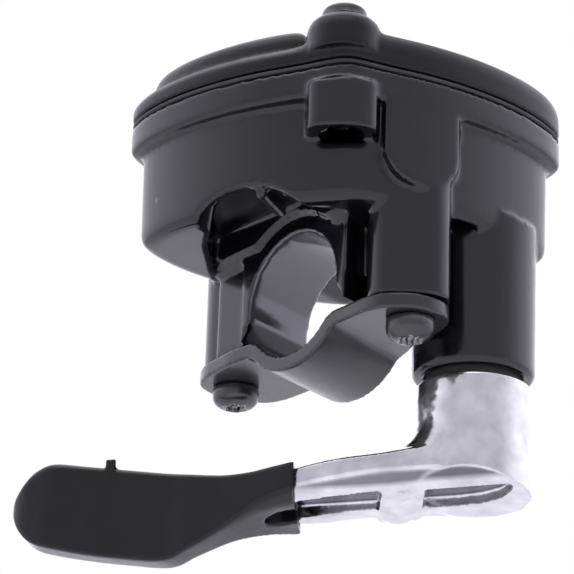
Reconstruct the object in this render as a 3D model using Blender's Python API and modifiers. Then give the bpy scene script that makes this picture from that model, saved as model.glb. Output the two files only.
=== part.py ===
"""Handlebar thumb throttle of a small quad: housing, cover, bar clamp, lever and the works inside.

Frame: +Z up along the lever's shaft, the cover on top. Y is the handlebar's axis. The origin is on
the bar's axis, in the middle of the clamp. Lengths below are in millimetres and are scaled once.
"""
import math

import bmesh
import bpy
from mathutils import Matrix, Vector

MM = 0.001

# clamp
BAR_RADIUS = 11.1
SADDLE_HALF = 8.5
SADDLE_SIDE = 14.3
SKEW = -0.231
EAR_Z = -5.8
STRAP = 2.6
SCREW_X = 22.9
SCREW_Y = -5.6

# housing
CASE_TURN = math.radians(38.0)
CASE_CENTRE = (2.8, 2.1)
CASE_FLOOR = 10.0
INNER_FLOOR = 16.5
WALL = 2.4
LIP_Z = 28.0
RIM_Z = 32.9
SEAM_GAP = 0.3
GASKET = 0.7
COVER_Z = RIM_Z + 2 * SEAM_GAP + GASKET
FLANGE = (38.2, 28.0)
BODY_TOP = (36.6, 26.3)
BODY_LOW = (36.2, 25.9)
CASE_POWER = 1.5   # the housing's outline is an oval pulled towards a diamond
ROUND_SIDES = 40
OUTLINE_SIDES = 56

# shaft and lever
SHAFT = (22.4, 14.1)
SHAFT_RADIUS = 3.0
BOSS_RADIUS = 10.5
BOSS_Z = -13.6
HUB_RADIUS = 9.9
HUB_TOP = -14.9
HUB_LOW = -35.2
ARM_TURN = math.radians(199.0)
GRIP_START = 29.5
GRIP_END = 83.0

# cover screws, in the housing's own turned axes: along, across, top of the pillar
PILLARS = {
    "near": (-1.3, -24.6, 43.4, 5.9),
    "right": (31.0, 9.5, 40.2, 5.2),
    "left": (-28.5, 14.5, 40.2, 5.2),
}

for old in list(bpy.data.objects):
    bpy.data.objects.remove(old)

parts = bpy.data.collections.new("thumb_throttle")
cutters = bpy.data.collections.new("cutters")
cutters.hide_render = True
for group in (parts, cutters):
    bpy.context.scene.collection.children.link(group)


def material(name, colour, roughness, metallic):
    made = bpy.data.materials.new(name)
    made.use_nodes = True
    shader = made.node_tree.nodes["Principled BSDF"]
    shader.inputs["Base Color"].default_value = (*colour, 1)
    shader.inputs["Roughness"].default_value = roughness
    shader.inputs["Metallic"].default_value = metallic
    return made


LOOKS = {
    "paint": ((0.012, 0.012, 0.016), 0.22, 0.0),
    "satin": ((0.015, 0.015, 0.017), 0.38, 0.0),
    "black_steel": ((0.03, 0.03, 0.032), 0.35, 0.8),
    "bright": ((0.78, 0.78, 0.79), 0.16, 1.0),
    "vinyl": ((0.01, 0.01, 0.011), 0.3, 0.0),
    "rubber": ((0.02, 0.02, 0.02), 0.7, 0.0),
    "brass": ((0.62, 0.45, 0.2), 0.35, 1.0),
    "zinc": ((0.6, 0.6, 0.58), 0.35, 1.0),
}


def add(name, bm, look=None, turned=None, matrix=None):
    """A mesh object from bm, in millimetres; one with no look is a cutter or a joined shape."""
    mesh = bpy.data.meshes.new(name)
    bmesh.ops.recalc_face_normals(bm, faces=bm.faces)
    bmesh.ops.scale(bm, vec=(MM, MM, MM), verts=bm.verts)
    bm.to_mesh(mesh)
    bm.free()
    thing = bpy.data.objects.new(name, mesh)
    if matrix is not None:
        thing.matrix_world = matrix
    if look:
        mesh.materials.append(material(name, *LOOKS[look]))
        parts.objects.link(thing)
    else:
        thing.hide_render = True
        thing.display_type = "WIRE"
        cutters.objects.link(thing)
    if turned:
        screw = thing.modifiers.new("turn", "SCREW")
        screw.axis = "Z"
        screw.steps = turned
        screw.render_steps = turned
        screw.use_merge_vertices = True
        screw.merge_threshold = 0.00001
    return thing


def smooth(thing, angle=35):
    thing.data.shade_smooth()
    thing.data.set_sharp_from_angle(angle=math.radians(angle))
    return thing


def at(x=0.0, y=0.0, z=0.0, turn=0.0):
    return Matrix.Translation(Vector((x, y, z)) * MM) @ Matrix.Rotation(turn, 4, "Z")


def housing_at(along=0.0, across=0.0, z=0.0):
    """Matrix of a point given in the housing's turned axes."""
    point = Matrix.Rotation(CASE_TURN, 4, "Z") @ Vector((along, across, 0))
    return at(CASE_CENTRE[0] + point.x, CASE_CENTRE[1] + point.y, z, CASE_TURN)


def sideways(along, across, z):
    """Matrix whose Z runs outward along the housing's far side."""
    return housing_at(along, across, z) @ Matrix.Rotation(-math.pi / 2, 4, "X")


def cylinder(name, radius, low, high, matrix, look=None, top=None, sides=ROUND_SIDES):
    bm = bmesh.new()
    bmesh.ops.create_cone(
        bm, cap_ends=True, segments=sides, radius1=radius,
        radius2=radius if top is None else top, depth=high - low,
    )
    bmesh.ops.translate(bm, vec=(0, 0, (low + high) / 2), verts=bm.verts)
    return add(name, bm, look, matrix=matrix)


def prism(name, outline, low, high, matrix=None, look=None):
    bm = bmesh.new()
    face = bm.faces.new([bm.verts.new((x, y, low)) for x, y in outline])
    raised = bmesh.ops.extrude_face_region(bm, geom=[face])
    moved = [v for v in raised["geom"] if isinstance(v, bmesh.types.BMVert)]
    bmesh.ops.translate(bm, vec=(0, 0, high - low), verts=moved)
    return add(name, bm, look, matrix=matrix)


def turned_ring(name, profile, matrix, look, sides=ROUND_SIDES):
    """A turned shape: the profile is (radius, height) pairs, down its outer side and back up."""
    bm = bmesh.new()
    points = [bm.verts.new((r, 0, z)) for r, z in profile]
    for first, second in zip(points, points[1:]):
        bm.edges.new((first, second))
    if profile[0][0] > 0.001:
        bm.edges.new((points[-1], points[0]))
    return smooth(add(name, bm, look, turned=sides, matrix=matrix))


def oval(size, sides=OUTLINE_SIDES, power=2.25, shift=(0, 0)):
    points = []
    for i in range(sides):
        t = 2 * math.pi * i / sides
        c = math.cos(t)
        s = math.sin(t)
        x = size[0] * math.copysign(abs(c) ** (2 / power), c)
        y = size[1] * math.copysign(abs(s) ** (2 / power), s)
        points.append((x + shift[0], y + shift[1]))
    return points


def loft(name, rings, matrix=None, look=None, closed=False):
    """Skins rings of equal counts of 3-D points; closed joins the last ring to the first."""
    bm = bmesh.new()
    rows = [[bm.verts.new(p) for p in ring] for ring in rings]
    pairs = list(zip(rows, rows[1:]))
    if closed:
        pairs.append((rows[-1], rows[0]))
    count = len(rows[0])
    for one, two in pairs:
        for i in range(count):
            j = (i + 1) % count
            bm.faces.new((one[i], one[j], two[j], two[i]))
    if not closed:
        bm.faces.new(rows[0])
        bm.faces.new(rows[-1])
    return add(name, bm, look, matrix=matrix)


def stack(levels, sides=OUTLINE_SIDES, power=CASE_POWER):
    """Oval rings for loft, from (size, z) pairs."""
    return [[(x, y, z) for x, y in oval(size, sides, power)] for size, z in levels]


def boolean(thing, other, how="DIFFERENCE"):
    step = thing.modifiers.new(other.name, "BOOLEAN")
    step.operation = how
    step.solver = "EXACT"
    step.object = other


def join(thing, *others):
    for other in others:
        boolean(thing, other, "UNION")


def cut(thing, *others):
    for other in others:
        boolean(thing, other)


def inset(size, by):
    return (size[0] - by, size[1] - by)


def along_bar(name, outline, reach=60):
    """A cutter with an outline in X and Z, run along the bar."""
    flip = Matrix.Rotation(math.pi / 2, 4, "X")
    return prism(name, outline, -reach, reach, matrix=flip)


def rounded(corners, radius, steps=3):
    """A closed outline with each corner eased by a short bend."""
    points = []
    for i, corner in enumerate(corners):
        here = Vector(corner)
        back = Vector(corners[i - 1]) - here
        on = Vector(corners[(i + 1) % len(corners)]) - here
        reach = min(radius, back.length * 0.45, on.length * 0.45)
        one = here + back.normalized() * reach
        two = here + on.normalized() * reach
        for k in range(steps + 1):
            t = k / steps
            p = one * (1 - t) ** 2 + here * 2 * t * (1 - t) + two * t * t
            points.append((p.x, p.y))
    return points


def skewed(x0, x1, y0, y1):
    """A rectangle sheared like the clamp's ends."""
    return [
        (x0, y0 + SKEW * x0), (x1, y0 + SKEW * x1),
        (x1, y1 + SKEW * x1), (x0, y1 + SKEW * x0),
    ]


# housing: floor, wall, overhanging flange, then back down inside
inside = inset(BODY_TOP, WALL)
case = loft(
    "case",
    stack([
        (inset(BODY_LOW, 3.0), CASE_FLOOR), (inset(BODY_LOW, 1.0), CASE_FLOOR + 0.7),
        (inset(BODY_LOW, 0.2), CASE_FLOOR + 2.4), (BODY_TOP, LIP_Z - 0.6),
        (inset(FLANGE, 0.6), LIP_Z), (FLANGE, LIP_Z + 0.8), (FLANGE, RIM_Z),
        (inside, RIM_Z), (inset(inside, 0.5), INNER_FLOOR),
    ]),
    housing_at(), "paint",
)

# the near wall clears the bar, and hollows lie behind it
clear = [(14.4 * math.cos(math.radians(a)), 14.4 * math.sin(math.radians(a))) for a in range(0, 360, 12)]
cut(
    case,
    prism("clear_near", clear, SADDLE_HALF + 0.6, 60, matrix=Matrix.Rotation(math.pi / 2, 4, "X")),
    prism("hollow_near", [(-20.6, -4.6), (-14.6, -13.6), (-6.4, -21.8), (2.2, -19.6), (10.2, -17.4), (15.0, -12.7)], 5, 15.0),
)

saddle = prism("saddle", skewed(-SADDLE_SIDE, SADDLE_SIDE, -SADDLE_HALF, SADDLE_HALF), EAR_Z, 13.0)
leg_left = prism("leg_left", skewed(-21.8, -12.0, -SADDLE_HALF, 5.0), EAR_Z, 13.1)
post_left = cylinder("post_left", 5.8, EAR_Z, 13.2, at(-SCREW_X, -SCREW_Y))
post_right = prism("post_right", rounded([(3.7, -23.8), (17.6, -23.8), (17.6, -12.6), (3.7, -12.6)], 4.2, 4), EAR_Z, 15.2, housing_at())
web_right = prism("web_right", skewed(11.0, 21.0, -3.4, 3.4), EAR_Z + 2.4, 13.4)
boss = cylinder("boss", BOSS_RADIUS, BOSS_Z, 13.5, at(*SHAFT))
inner_boss = cylinder("inner_boss", 8.0, 12.0, INNER_FLOOR + 1.4, at(*SHAFT))
join(case, saddle, leg_left, post_left, post_right, web_right, boss, inner_boss)

pillar_low = {"near": 21.5, "right": 19.0, "left": 19.0}
for side, (along, across, top, radius) in PILLARS.items():
    place = housing_at(along, across)
    join(case, cylinder("pillar_" + side, radius, pillar_low[side], RIM_Z, place, sides=28))
inlet_boss = cylinder("inlet_boss", 6.2, -6.0, 4.2, sideways(7.0, 25.0, 23.5), sides=28)
stop_boss = cylinder("stop_boss", 4.4, -4.6, 3.4, sideways(22.0, 20.5, 22.5), sides=24)
join(case, inlet_boss, stop_boss)

bar_way = cylinder("bar_way", BAR_RADIUS, -60, 60, Matrix.Rotation(math.pi / 2, 4, "X"), sides=56)
relief = along_bar("relief", [(-10.8, -1.4), (-14.4, EAR_Z - 1), (14.4, EAR_Z - 1), (10.8, -1.4)])
shaft_way = cylinder("shaft_way", 4.8, BOSS_Z - 2, INNER_FLOOR + 4, at(*SHAFT), sides=32)
seal_seat = cylinder("seal_seat", 8.6, BOSS_Z - 2, BOSS_Z + 0.9, at(*SHAFT))
cut(case, bar_way, relief, shaft_way, seal_seat)
for sign in (-1, 1):
    name = "clamp_thread_" + ("left" if sign < 0 else "right")
    cut(case, cylinder(name, 2.3, EAR_Z - 3, 7.6, at(sign * SCREW_X, sign * SCREW_Y), sides=20))
for side, (along, across, top, radius) in PILLARS.items():
    low = 21.2 if side == "near" else 21.0
    cut(case, cylinder("thread_" + side, 2.3, low, 40, housing_at(along, across), sides=20))
cut(
    case,
    cylinder("inlet_way", 4.3, -14, 12, sideways(7.0, 25.0, 23.5), sides=28),
    cylinder("stop_way", 2.4, -14, 12, sideways(22.0, 20.5, 22.5), sides=20),
)
smooth(case)

# gasket between the rims
gasket = loft(
    "gasket",
    stack([
        (inset(FLANGE, 0.25), RIM_Z + SEAM_GAP), (inset(FLANGE, 0.25), RIM_Z + SEAM_GAP + GASKET),
        (inset(inside, -0.4), RIM_Z + SEAM_GAP + GASKET), (inset(inside, -0.4), RIM_Z + SEAM_GAP),
    ]),
    housing_at(), "rubber", closed=True,
)
for side, (along, across, top, radius) in PILLARS.items():
    pad = cylinder(
        "gasket_pad_" + side, radius - 0.2, RIM_Z + SEAM_GAP, RIM_Z + SEAM_GAP + GASKET,
        housing_at(along, across), sides=28,
    )
    join(gasket, pad)
for side, (along, across, top, radius) in PILLARS.items():
    cut(gasket, cylinder("gasket_hole_" + side, 2.4, 30, 36, housing_at(along, across), sides=20))

# cover: edge band, rounded shoulder, hollow from below, a raised dome over the works
cover = loft(
    "cover",
    stack([
        (inset(inside, 0.2), 36.4), (inset(inside, 0.0), COVER_Z), (FLANGE, COVER_Z),
        (FLANGE, COVER_Z + 3.0), (inset(FLANGE, 0.6), COVER_Z + 4.6), (inset(FLANGE, 2.2), 39.7),
    ]),
    housing_at(), "satin",
)
dome = loft(
    "dome",
    stack([
        ((20.4, 21.6), 37.6), ((20.0, 21.2), 39.8), ((18.8, 20.0), 41.4), ((16.0, 17.2), 42.2),
    ], sides=48, power=1.75),
    housing_at(-12.0, 0.0),
)
dome_inside = loft(
    "dome_inside", stack([((17.2, 18.4), 34.0), ((16.4, 17.6), 40.0)], sides=40, power=1.75),
    housing_at(-12.0, 0.0),
)
join(cover, dome)
for side, (along, across, top, radius) in PILLARS.items():
    pillar = cylinder(
        "cover_pillar_" + side, radius - 0.3, COVER_Z, top, housing_at(along, across),
        top=radius - 1.6, sides=28,
    )
    join(cover, pillar)
cut(cover, dome_inside)
for side in ("right", "left"):
    along, across, top, radius = PILLARS[side]
    cut(cover, cylinder("head_room_" + side, 4.6, top + 0.05, 50, housing_at(along, across), sides=28))
for side, (along, across, top, radius) in PILLARS.items():
    cut(cover, cylinder("cover_hole_" + side, 2.4, 30, 50, housing_at(along, across), sides=20))
smooth(cover)


def screw_profile(head, shank, head_high, length):
    """A button head above z 0 and its shank below, with a shallow socket."""
    return [
        (1.1, head_high - 1.1), (1.6, head_high), (head * 0.62, head_high - 0.25),
        (head * 0.9, head_high - 1.0), (head, head_high - 1.9), (head, 0), (shank, 0),
        (shank, 0.4 - length), (shank - 0.5, -length), (0, -length),
    ]


def screw(name, head, shank, head_high, length, matrix, look):
    bm = bmesh.new()
    profile = [(0, head_high - 1.1)] + screw_profile(head, shank, head_high, length)
    points = [bm.verts.new((r, 0, z)) for r, z in profile]
    for first, second in zip(points, points[1:]):
        bm.edges.new((first, second))
    return smooth(add(name, bm, look, turned=24, matrix=matrix))


for side, (along, across, top, radius) in PILLARS.items():
    length = 20.0 if side == "near" else 17.5
    screw("cover_screw_" + side, 3.6, 1.9, 2.6, length, housing_at(along, across, top + 0.3), "zinc")

# strap: flat ears and a trough that follows the bar
ear_mid = EAR_Z - 0.3 - STRAP / 2
arc_mid = BAR_RADIUS + STRAP / 2
bend = 4.0
bend_x = math.sqrt((arc_mid + bend) ** 2 - (ear_mid - bend) ** 2)
bend_angle = math.atan2(bend_x, bend - ear_mid)


def strap_line(offset):
    """Points of the strap's section on one side of its middle line, from the right to the left."""
    right = [(30.0, ear_mid + offset)]
    for i in range(7):
        t = bend_angle * i / 6
        r = bend + offset
        right.append((bend_x - r * math.sin(t), ear_mid - bend + r * math.cos(t)))
    for i in range(1, 12):
        t = bend_angle * (1 - i / 11)
        r = arc_mid - offset
        right.append((r * math.sin(t), -r * math.cos(t)))
    return right + [(-x, z) for x, z in right[-2::-1]]


strap = along_bar("clamp_strap", strap_line(STRAP / 2) + strap_line(-STRAP / 2)[::-1])
strap.name = "clamp_strap"
strap.hide_render = False
strap.display_type = "TEXTURED"
cutters.objects.unlink(strap)
parts.objects.link(strap)
strap.data.materials.append(material("clamp_strap", *LOOKS["black_steel"]))


def strap_plan():
    """The strap's plan: a skewed band with wide rounded ears under the posts."""
    side = [
        (12.0, -SADDLE_HALF + SKEW * 12.0), (17.5, -13.1), (22.0, -13.3), (26.6, -10.4),
        (28.8, -5.9), (28.2, -1.4), (24.5, 1.8), (16.2, 5.0), (12.0, SADDLE_HALF + SKEW * 12.0),
    ]
    return rounded(side + [(-x, -y) for x, y in side], 2.4)


boolean(strap, prism("strap_plan", strap_plan(), -30, 10), "INTERSECT")
for sign in (-1, 1):
    side = "left" if sign < 0 else "right"
    place = at(sign * SCREW_X, sign * SCREW_Y)
    cut(strap, cylinder("strap_hole_" + side, 2.4, -20, 0, place, sides=20))
    down = at(sign * SCREW_X, sign * SCREW_Y, EAR_Z - STRAP - 0.6) @ Matrix.Rotation(math.pi, 4, "X")
    screw("clamp_screw_" + side, 4.15, 1.9, 3.9, 13.5, down, "black_steel")
smooth(strap)

# lever: shaft and hub on the joint axis, then the arm and the tang inside the grip
axis = bpy.data.objects.new("lever_axis", None)
axis.matrix_world = at(*SHAFT)
parts.objects.link(axis)


def bar_ring(reach, near, far, top, near_low, far_low, bevel, drop, ease=0.8):
    """A section across the arm: upright sides, a bevel on the near lower edge, eased corners."""
    corners = [
        (near, top), (near, near_low), (near - bevel, near_low - drop), (far, far_low), (far, top),
    ]
    return [(reach, y, z) for y, z in rounded(corners, ease, 2)]


lever = cylinder("lever", HUB_RADIUS, HUB_LOW, HUB_TOP, at(*SHAFT), "bright")
lever_turn = at(*SHAFT, turn=ARM_TURN)
along_arm = lever_turn @ Matrix(((0, 0, 1, 0), (1, 0, 0, 0), (0, 1, 0, 0), (0, 0, 0, 1)))
under = [(14.0, -30.1), (4.6, -33.7), (-14.0, -35.1), (-14.0, -50.0), (14.0, -50.0)]
cut(lever, prism("hub_under", under, -20, 20, along_arm))
shaft = cylinder("shaft", SHAFT_RADIUS, HUB_TOP - 2, 32.6, at(*SHAFT), sides=24)
arm = loft(
    "arm",
    [
        bar_ring(0, 8.6, -8.6, -25.0, -31.6, -34.5, 4.2, 2.1), bar_ring(9, 8.9, -8.8, -26.6, -31.4, -34.4, 4.4, 2.3),
        bar_ring(14, 8.7, -8.6, -27.9, -31.2, -34.3, 4.1, 2.3), bar_ring(22, 8.3, -8.2, -28.2, -31.8, -34.3, 3.8, 1.9),
        bar_ring(29, 7.8, -7.9, -29.2, -32.6, -34.8, 3.3, 1.6), bar_ring(34, 7.0, -6.2, -29.9, -33.4, -35.1, 2.6, 1.2),
        bar_ring(40, 6.0, -1.4, -30.4, -36.2, -36.8, 1.6, 0.4), bar_ring(48, 5.0, 1.4, -29.8, -39.4, -39.6, 1.0, 0.2),
        bar_ring(60, 4.2, 1.0, -28.0, -40.6, -40.7, 1.0, 0.1), bar_ring(74, 4.2, 1.2, -27.4, -37.6, -37.7, 1.0, 0.1),
    ],
    lever_turn,
)
channel = rounded([(36, 3.6), (-7.4, 4.3), (-7.0, 1.6), (-4.6, -1.8), (0.5, -4.2), (34, -4.4), (37, -1.0)], 1.2)
boss_on_arm = prism("boss_on_arm", [(9.1, 4.4), (16.9, 4.4), (16.9, -8.2), (9.1, -8.2)], -34.9, -30.0, lever_turn)
join(lever, shaft, arm)
cut(lever, prism("channel", channel, -60, -31.8, lever_turn))
join(lever, boss_on_arm)
smooth(lever)
tang_space = loft(
    "tang_space",
    [
        bar_ring(24, 8.2, -8.3, -28.1, -32.0, -34.9, 3.6, 1.7), bar_ring(29, 8.1, -8.2, -28.9, -32.9, -35.1, 3.3, 1.6),
        bar_ring(34.3, 7.3, -6.4, -29.6, -33.8, -35.5, 2.6, 1.2), bar_ring(40.3, 6.3, -1.6, -30.1, -36.6, -37.2, 1.6, 0.4),
        bar_ring(48.2, 5.3, 1.1, -29.5, -39.7, -39.9, 1.0, 0.2), bar_ring(60.2, 4.5, 0.7, -27.7, -40.9, -41.0, 1.0, 0.1),
        bar_ring(74.4, 4.5, 0.9, -27.1, -37.9, -38.0, 1.0, 0.1),
    ],
    lever_turn,
)
grip = loft(
    "lever_grip",
    [
        bar_ring(GRIP_START, 9.1, -9.2, -27.9, -33.9, -36.1, 3.4, 1.4), bar_ring(34, 8.5, -7.6, -28.6, -34.8, -36.5, 2.6, 1.0),
        bar_ring(38, 7.7, -4.2, -29.0, -36.4, -37.4, 1.8, 0.6, 1.0), bar_ring(42.4, 7.1, -1.0, -29.2, -39.0, -39.4, 1.2, 0.2, 1.2),
        bar_ring(48.5, 6.4, 0.1, -28.4, -41.8, -41.9, 1.0, 0.1, 1.4), bar_ring(53.4, 5.8, -0.3, -27.7, -43.5, -43.6, 1.0, 0.1, 1.6),
        bar_ring(62, 5.5, -0.5, -26.3, -42.5, -42.6, 1.0, 0.1, 1.8), bar_ring(69, 5.5, -0.4, -25.2, -41.3, -41.5, 1.0, 0.1, 1.8),
        bar_ring(75, 5.5, -0.3, -24.3, -39.9, -40.1, 1.0, 0.1, 2.0), bar_ring(79, 5.1, 0.2, -25.6, -38.2, -38.4, 1.0, 0.1, 2.0),
        bar_ring(81.5, 4.4, 1.0, -28.4, -35.6, -35.7, 0.8, 0.1, 1.6), bar_ring(GRIP_END, 3.4, 2.0, -30.6, -33.2, -33.3, 0.4, 0.1, 1.0),
    ],
    lever_turn, "vinyl",
)
cut(grip, tang_space)
smooth(grip)

# what turns and what bears on the shaft
place = at(*SHAFT)
turned_ring("dust_seal", [(8.2, -13.1), (8.2, -14.6), (3.4, -14.6), (3.4, -13.1)], place, "rubber")
turned_ring("bush_lower", [(4.5, -3.0), (4.5, -12.4), (3.3, -12.4), (3.3, -3.0)], place, "brass", 28)
turned_ring("bush_upper", [(4.5, 17.4), (4.5, 7.0), (3.3, 7.0), (3.3, 17.4)], place, "brass", 28)
turned_ring("shaft_ring", [(4.5, 1.4), (4.5, -0.2), (3.3, -0.2), (3.3, 1.4)], place, "rubber", 28)
turned_ring("thrust_washer", [(6.6, 19.0), (6.6, 18.2), (3.3, 18.2), (3.3, 19.0)], place, "zinc", 28)
turned_ring("lock_washer", [(5.4, 27.9), (5.4, 27.2), (3.3, 27.2), (3.3, 27.9)], place, "zinc", 28)
nut = cylinder("shaft_nut", 5.4, 28.2, 31.6, place, "zinc", sides=6)
cut(nut, cylinder("nut_bore", 3.3, 20, 40, place, sides=24))


def arm_plate():
    """Outline of the cable arm: a round eye on the shaft with a nose that carries the cable's end."""
    points = []
    for i in range(15):
        t = math.radians(50 + 260 * i / 14)
        points.append((6.6 * math.cos(t), 6.6 * math.sin(t)))
    for i in range(7):
        t = math.radians(-75 + 150 * i / 6)
        points.append((11.0 + 2.8 * math.cos(t), 2.8 * math.sin(t)))
    return points


plate = prism("cable_arm", arm_plate(), 24.8, 26.9, at(*SHAFT, turn=math.radians(148)), "zinc")
cut(plate, cylinder("cable_arm_bore", 3.3, 20, 40, place, sides=24))
cut(plate, cylinder("cable_arm_eye", 1.3, 20, 40, at(*SHAFT, turn=math.radians(148)) @ at(11), sides=14))

coil = bpy.data.curves.new("return_spring", "CURVE")
coil.dimensions = "3D"
coil.bevel_depth = 0.5 * MM
coil.bevel_resolution = 2
coil.use_fill_caps = True
line = coil.splines.new("POLY")
turns = 3.25
steps = 52
line.points.add(steps)
for i in range(steps + 1):
    t = 2 * math.pi * turns * i / steps
    line.points[i].co = (5.4 * math.cos(t) * MM, 5.4 * math.sin(t) * MM, (20.0 + 4.0 * i / steps) * MM, 1)
spring = bpy.data.objects.new("return_spring", coil)
spring.matrix_world = place
coil.materials.append(material("return_spring", *LOOKS["zinc"]))
parts.objects.link(spring)

# cable inlet and the stop that limits the lever
turned_ring(
    "cable_inlet",
    [(5.6, 6.3), (5.6, 4.5), (4.0, 4.5), (4.0, -4.0), (2.7, -4.0), (2.7, 6.3)],
    sideways(7.0, 25.0, 23.5), "zinc", 28,
)
screw("stop_screw", 2.6, 2.0, 2.6, 12.0, sideways(22.0, 20.5 + 9.6, 22.5), "zinc")
stop_nut = cylinder("stop_nut", 4.2, 3.7, 6.5, sideways(22.0, 20.5, 22.5), "zinc", sides=6)
cut(stop_nut, cylinder("stop_nut_bore", 2.3, -10, 20, sideways(22.0, 20.5, 22.5), sides=20))

# pieces that swing with the lever hang on its axis
bpy.context.view_layer.update()
for name in ("lever", "lever_grip", "cable_arm", "lock_washer", "shaft_nut"):
    piece = bpy.data.objects[name]
    world = piece.matrix_world.copy()
    piece.parent = axis
    piece.matrix_parent_inverse = axis.matrix_world.inverted()
    piece.matrix_world = world
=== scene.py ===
import math

import bmesh
import bpy
from mathutils import Matrix, Vector


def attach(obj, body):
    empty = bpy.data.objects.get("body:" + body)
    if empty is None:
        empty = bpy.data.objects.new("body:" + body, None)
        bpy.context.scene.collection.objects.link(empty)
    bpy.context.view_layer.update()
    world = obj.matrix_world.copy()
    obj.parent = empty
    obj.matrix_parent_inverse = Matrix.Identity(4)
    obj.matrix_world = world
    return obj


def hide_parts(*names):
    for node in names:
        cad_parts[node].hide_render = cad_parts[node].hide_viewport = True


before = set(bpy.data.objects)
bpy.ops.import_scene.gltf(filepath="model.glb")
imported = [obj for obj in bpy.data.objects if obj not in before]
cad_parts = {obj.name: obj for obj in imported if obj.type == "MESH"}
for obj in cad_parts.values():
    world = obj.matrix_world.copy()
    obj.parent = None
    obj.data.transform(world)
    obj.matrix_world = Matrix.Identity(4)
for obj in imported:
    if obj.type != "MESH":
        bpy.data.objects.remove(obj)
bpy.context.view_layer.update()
scene = bpy.context.scene
scene.view_settings.view_transform = "Standard"
mm = 0.001

# the whole object turns about these
layout = {
    "caseTurn": math.radians(38.0),
    "caseCentre": (2.8, 2.1),
    "shaft": (22.4, 14.1),
    "screwX": 22.9,
    "screwY": -5.6,
    "skew": -0.231,
    "saddleHalf": 8.5,
    "earZ": -5.8,
}
shaftPlace = Matrix.Translation((layout["shaft"][0], layout["shaft"][1], 0))


# shapes are made in millimetres, and turned into metres when they are put away

def ovalPoint(size, t, power=2.25):
    c = math.cos(t)
    s = math.sin(t)
    x = size[0] * math.copysign(abs(c) ** (2 / power), c)
    y = size[1] * math.copysign(abs(s) ** (2 / power), s)
    return x, y


def rimOutline(inset, swell=1.7, sides=240):
    # the flange's outline: an oval pulled towards a diamond, with a nose where the near cover screw stands
    points = []
    for i in range(sides):
        x, y = ovalPoint((38.2 - inset, 28.0 - inset), 2 * math.pi * i / sides, 1.5)
        if y < 0:
            y -= swell * math.exp(-(((x + 1.3) / 5.4) ** 2)) * min(1, -y / 14)
        points.append((x, y))
    return points


def circleOf(radius, stepDeg):
    return [(radius * math.cos(math.radians(a)), radius * math.sin(math.radians(a))) for a in range(0, 360, stepDeg)]


def wallOutline(size, sides=240):
    return [ovalPoint(size, 2 * math.pi * i / sides, 1.5) for i in range(sides)]


def roundedBox(x0, x1, y0, y1, r, corner=8):
    points = []
    for cx, cy, start in ((x1 - r, y1 - r, 0), (x0 + r, y1 - r, 90), (x0 + r, y0 + r, 180), (x1 - r, y0 + r, 270)):
        for i in range(corner + 1):
            t = math.radians(start + 90 * i / corner)
            points.append((cx + r * math.cos(t), cy + r * math.sin(t)))
    return points


def roundedPath(corners, radius, steps=6):
    # a closed outline whose corners are rounded off by quadratic bends
    points = []
    count = len(corners)
    for i, corner in enumerate(corners):
        here = Vector(corner)
        back = Vector(corners[i - 1]) - here
        on = Vector(corners[(i + 1) % count]) - here
        reach = min(radius, back.length * 0.45, on.length * 0.45)
        a = here + back.normalized() * reach
        b = here + on.normalized() * reach
        for k in range(steps + 1):
            t = k / steps
            p = a * (1 - t) ** 2 + here * 2 * t * (1 - t) + b * t * t
            points.append((p.x, p.y))
    return points


def solidFrom(name, bm, place=None):
    bmesh.ops.recalc_face_normals(bm, faces=bm.faces)
    if place is not None:
        bm.transform(place)
    mesh = bpy.data.meshes.new(name)
    bm.to_mesh(mesh)
    bm.free()
    made = bpy.data.objects.new(name, mesh)
    scene.collection.objects.link(made)
    return made


def skin(name, rings, place=None, closed=False):
    bm = bmesh.new()
    rows = [[bm.verts.new(p) for p in ring] for ring in rings]
    pairs = list(zip(rows, rows[1:]))
    if closed:
        pairs.append((rows[-1], rows[0]))
    count = len(rows[0])
    for one, two in pairs:
        for i in range(count):
            j = (i + 1) % count
            bm.faces.new((one[i], one[j], two[j], two[i]))
    if not closed:
        bm.faces.new(rows[0])
        bm.faces.new(rows[-1])
    return solidFrom(name, bm, place)


def stackOf(outlineAt, levels):
    # rings for skin: outlineAt(key) gives an outline for each (key, height)
    return [[(x, y, z) for x, y in outlineAt(key)] for key, z in levels]


def scaled(outline, factor, centre=(0, 0)):
    return [(centre[0] + (x - centre[0]) * factor, centre[1] + (y - centre[1]) * factor) for x, y in outline]


def slab(name, outline, low, high, place=None):
    return skin(name, [[(x, y, low) for x, y in outline], [(x, y, high) for x, y in outline]], place)


def turned(name, profile, place=None, sides=96):
    # (radius, height) pairs from one end to the other; ends are closed
    rings = []
    for r, z in profile:
        rings.append([
            (max(r, 0.001) * math.cos(2 * math.pi * i / sides), max(r, 0.001) * math.sin(2 * math.pi * i / sides), z)
            for i in range(sides)
        ])
    return skin(name, rings, place)


def housingAt(along=0.0, across=0.0, z=0.0):
    turn = Matrix.Rotation(layout["caseTurn"], 4, "Z")
    point = turn @ Vector((along, across, 0))
    cx, cy = layout["caseCentre"]
    return Matrix.Translation((cx + point.x, cy + point.y, z)) @ turn


def sheared(x0, x1, y0, y1):
    k = layout["skew"]
    return [(x0, y0 + k * x0), (x1, y0 + k * x1), (x1, y1 + k * x1), (x0, y1 + k * x0)]


def bake(thing):
    # the evaluated mesh becomes the object's own, with no modifiers left
    graph = bpy.context.evaluated_depsgraph_get()
    graph.update()
    mesh = bpy.data.meshes.new_from_object(thing.evaluated_get(graph))
    thing.modifiers.clear()
    old = thing.data
    thing.data = mesh
    bpy.data.meshes.remove(old)
    return thing


def combine(base, others, how):
    for other in others:
        step = base.modifiers.new(other.name, "BOOLEAN")
        step.operation = how
        step.solver = "EXACT"
        step.object = other
    bake(base)
    for other in others:
        bpy.data.objects.remove(other)
    return base


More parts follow.
